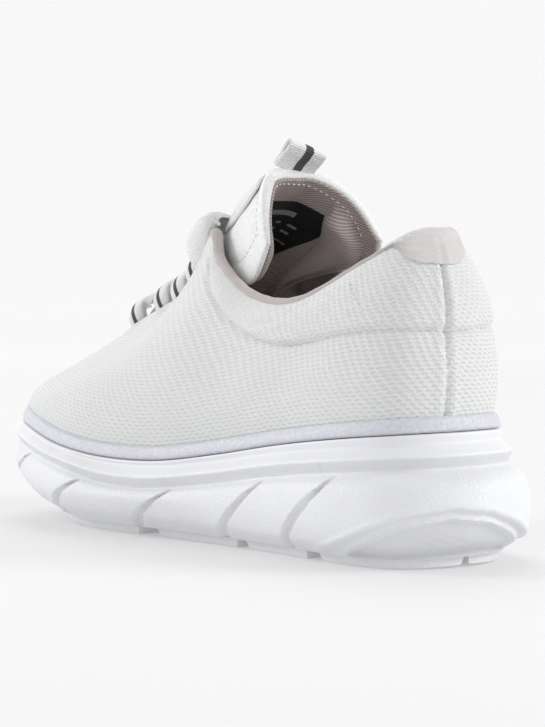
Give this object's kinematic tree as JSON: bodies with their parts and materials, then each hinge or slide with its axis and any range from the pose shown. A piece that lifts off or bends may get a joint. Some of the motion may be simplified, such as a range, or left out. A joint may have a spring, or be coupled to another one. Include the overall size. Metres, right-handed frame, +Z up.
{
  "type": "running shoe",
  "caption": "Left running shoe with a thick podded foam sole, one-piece mesh upper, padded collar, tall wrapped tongue, flat lace bars and a pull loop.",
  "frame": {"origin": "middle of the footprint on the ground", "axes": "+X towards the toe, +Y towards the outer side of a left foot, +Z up"},
  "size_m": [0.2549, 0.101, 0.1438],
  "materials": {
    "mesh": "matte fuzzy knit",
    "lining": "matte twill",
    "binding": "matte weave",
    "facing": "smooth synthetic, low sheen",
    "foam": "matte foam under cloth",
    "board": "matte fibre board",
    "sole": "satin foam skin",
    "tread": "satin rubber",
    "foxing": "grained synthetic, low sheen",
    "webbing": "ribbed weave with a dark stripe",
    "label": "matte printed"
  },
  "bodies": {
    "shoe": {"midsole": "sole", "tread_heel_outer": "tread", "tread_heel_inner": "tread", "tread_waist_outer": "tread", "tread_waist_inner": "tread", "tread_middle_outer": "tread", "tread_middle_inner": "tread", "tread_ball_outer": "tread", "tread_ball_inner": "tread", "tread_toe": "tread", "foxing_band": "foxing", "strobel_board": "board", "sockliner": "foam", "upper": "mesh", "heel_counter": "board", "toe_puff": "board", "collar_foam": "foam", "quarter_lining": "lining", "vamp_lining": "lining", "eyestay_outer": "facing", "eyestay_inner": "facing", "corner_patch_outer": "facing", "corner_patch_inner": "facing", "collar_binding_outer": "binding", "collar_binding_inner": "binding", "heel_patch": "binding", "lace": "webbing"},
    "tongue": {"tongue": "mesh", "tongue_lining": "lining", "tongue_label": "label", "tongue_patch": "facing"},
    "pull_loop": {"pull_loop": "webbing"}
  },
  "joints": [
    {"name": "tongue_press", "type": "hinge", "parent": "shoe", "child": "tongue", "pos_m": [0.0846, -0.006, 0.062], "axis": [0, 1, 0], "range_deg": [-4, 0], "stiffness_Nm_per_rad": 0.6},
    {"name": "pull_loop_fold", "type": "hinge", "parent": "tongue", "child": "pull_loop", "pos_m": [-0.0249, -0.002, 0.1346], "axis": [0, 1, 0], "range_deg": [-14, 14], "stiffness_Nm_per_rad": 0.002}
  ]
}
